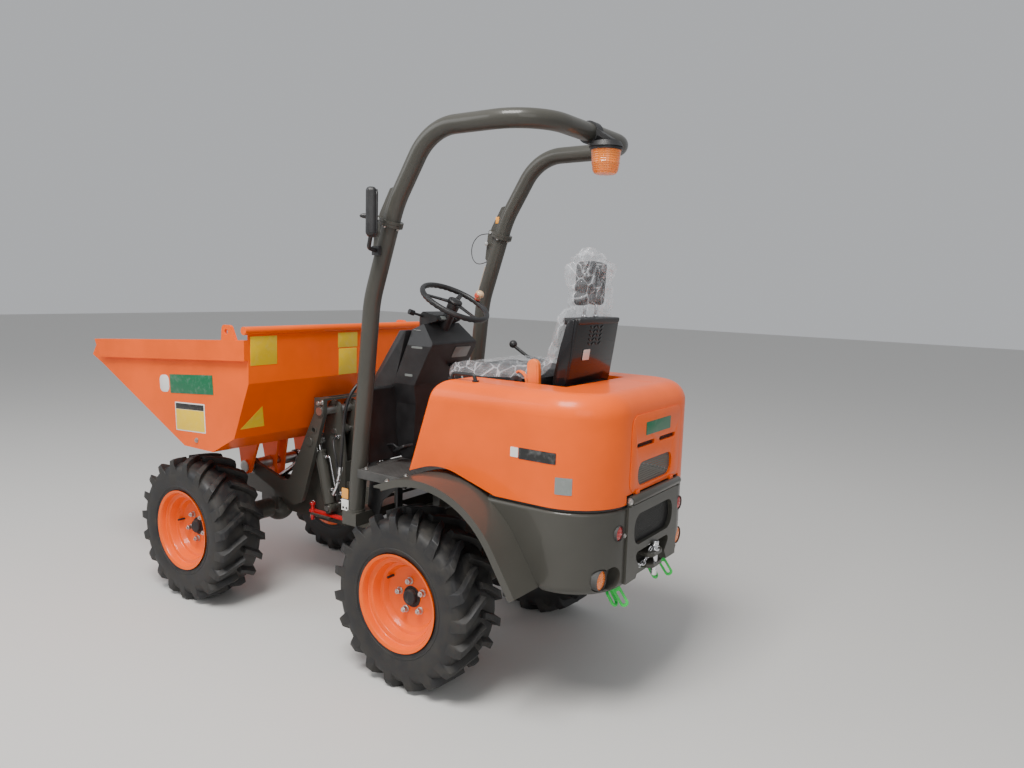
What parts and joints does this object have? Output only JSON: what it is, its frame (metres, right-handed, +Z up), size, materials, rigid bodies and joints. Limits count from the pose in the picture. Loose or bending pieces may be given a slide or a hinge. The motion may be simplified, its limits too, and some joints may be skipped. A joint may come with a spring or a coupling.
{
  "type": "site dumper",
  "caption": "Compact four-wheel articulated site dumper with a lifting, tipping front skip, open driver's seat and folding roll bar.",
  "frame": {"origin": "centre of the bounding box's bottom face, on the ground", "axes": "+Z up, +X forwards towards the skip's lip, +Y to the driver's left"},
  "size_m": [3.34, 1.3, 2.4193],
  "materials": {
    "orange_paint": "gloss",
    "grey_paint": "satin",
    "engine_iron": "matt",
    "pin_steel": "satin",
    "rod_chrome": "polished",
    "tyre_rubber": "matt",
    "mesh_black": "satin",
    "lamp_lens": "gloss",
    "black_plastic": "satin",
    "seat_vinyl": "satin",
    "belt_orange": "matt",
    "floor_rubber": "matt",
    "lock_red": "gloss",
    "eye_green": "gloss"
  },
  "bodies": {
    "rear_body": {"rear_frame": "grey_paint", "rear_axle": "grey_paint", "engine": "engine_iron", "counterweight": "grey_paint", "bumper_grille": "mesh_black", "rear_lamps": "lamp_lens", "tow_hitch": "grey_paint", "lashing_eyes": "eye_green", "fenders": "grey_paint", "floor_plate": "floor_rubber", "console": "black_plastic", "steering_column": "black_plastic", "roll_post_left": "grey_paint", "roll_post_right": "grey_paint", "fold_pins": "pin_steel", "mirror": "black_plastic"},
    "knuckle": {"centre_knuckle": "grey_paint"},
    "front_body": {"front_frame": "grey_paint", "frame_pins": "pin_steel", "front_axle": "grey_paint", "lock_bar": "lock_red"},
    "lift_arms": {"lift_arms": "grey_paint"},
    "level": {"pivot_shaft": "pin_steel"},
    "skip": {"skip": "orange_paint"},
    "lift_barrels": {"lift_barrels": "grey_paint"},
    "lift_rods": {"lift_rods": "rod_chrome"},
    "tip_barrel": {"tip_barrel": "grey_paint"},
    "tip_rod": {"tip_rod": "rod_chrome"},
    "bonnet": {"bonnet": "orange_paint", "bonnet_grille": "mesh_black", "seat_base": "black_plastic", "seat_cushion": "seat_vinyl", "seat_back": "seat_vinyl", "belt_covers": "belt_orange", "grab_handle": "mesh_black"},
    "roll_hoop": {"roll_hoop": "grey_paint", "beacon_base": "black_plastic", "beacon_lens": "lamp_lens"},
    "steering_wheel": {"steering_wheel": "black_plastic"},
    "wheel_front_left": {"tyre_front_left": "tyre_rubber", "rim_front_left": "orange_paint"},
    "wheel_front_right": {"tyre_front_right": "tyre_rubber", "rim_front_right": "orange_paint"},
    "wheel_rear_left": {"tyre_rear_left": "tyre_rubber", "rim_rear_left": "orange_paint"},
    "wheel_rear_right": {"tyre_rear_right": "tyre_rubber", "rim_rear_right": "orange_paint"}
  },
  "joints": [
    {"name": "wheel_front_left_spin", "type": "hinge", "parent": "front_body", "child": "wheel_front_left", "pos_m": [0.76, 0.515, 0.382], "axis": [0, 1, 0], "continuous": true},
    {"name": "wheel_front_right_spin", "type": "hinge", "parent": "front_body", "child": "wheel_front_right", "pos_m": [0.76, -0.515, 0.382], "axis": [0, 1, 0], "continuous": true},
    {"name": "wheel_rear_left_spin", "type": "hinge", "parent": "rear_body", "child": "wheel_rear_left", "pos_m": [-0.78, 0.515, 0.382], "axis": [0, 1, 0], "continuous": true},
    {"name": "wheel_rear_right_spin", "type": "hinge", "parent": "rear_body", "child": "wheel_rear_right", "pos_m": [-0.78, -0.515, 0.382], "axis": [0, 1, 0], "continuous": true},
    {"name": "oscillation", "type": "hinge", "parent": "rear_body", "child": "knuckle", "pos_m": [-0.2, 0, 0.52], "axis": [1, 0, 0], "range_deg": [-12, 12]},
    {"name": "steering", "type": "hinge", "parent": "knuckle", "child": "front_body", "pos_m": [-0.03, 0, 0.52], "axis": [0, 0, 1], "range_deg": [-33, 33]},
    {"name": "steering_wheel_turn", "type": "hinge", "parent": "rear_body", "child": "steering_wheel", "pos_m": [-0.551, 0, 1.637], "axis": [-0.4695, 0, 0.8829], "range_deg": [-400, 400]},
    {"name": "lift", "type": "hinge", "parent": "front_body", "child": "lift_arms", "pos_m": [0.218, 0, 1.03], "axis": [0, -1, 0], "range_deg": [0, 75]},
    {"name": "level_turn", "type": "hinge", "parent": "lift_arms", "child": "level", "pos_m": [0.79, 0, 0.65], "axis": [0, -1, 0], "range_deg": [-75, 0]},
    {"name": "tip", "type": "hinge", "parent": "level", "child": "skip", "pos_m": [0.79, 0, 0.65], "axis": [0, 1, 0], "range_deg": [0, 66]},
    {"name": "lift_barrel_turn", "type": "hinge", "parent": "front_body", "child": "lift_barrels", "pos_m": [0.203, 0, 0.495], "axis": [0, -1, 0], "range_deg": [-5.4, 0]},
    {"name": "lift_rod_slide", "type": "slide", "parent": "lift_barrels", "child": "lift_rods", "axis": [0.2519, 0, 0.9677], "range_m": [0, 0.229]},
    {"name": "tip_barrel_turn", "type": "hinge", "parent": "front_body", "child": "tip_barrel", "pos_m": [0.217, 0, 0.911], "axis": [0, -1, 0], "range_deg": [0, 75]},
    {"name": "tip_rod_slide", "type": "slide", "parent": "tip_barrel", "child": "tip_rod", "axis": [0.8331, 0, -0.5531], "range_m": [-0.1297, 0]},
    {"name": "bonnet_open", "type": "hinge", "parent": "rear_body", "child": "bonnet", "pos_m": [-1.641, 0, 0.898], "axis": [0, -1, 0], "range_deg": [0, 55]},
    {"name": "roll_bar_fold", "type": "hinge", "parent": "rear_body", "child": "roll_hoop", "pos_m": [-0.4611, 0, 1.9983], "axis": [0, -1, 0], "range_deg": [-150, 0]}
  ],
  "couplings": [
    {"joint": "steering_wheel_turn", "follows": "steering", "ratio": 10},
    {"joint": "level_turn", "follows": "lift", "ratio": -1},
    {"joint": "lift_barrel_turn", "follows": "lift", "ratio": -0.0689},
    {"joint": "lift_rod_slide", "follows": "lift", "m_per_rad": 0.1747},
    {"joint": "tip_barrel_turn", "follows": "lift", "ratio": 1},
    {"joint": "tip_rod_slide", "follows": "tip", "m_per_rad": -0.11253}
  ]
}
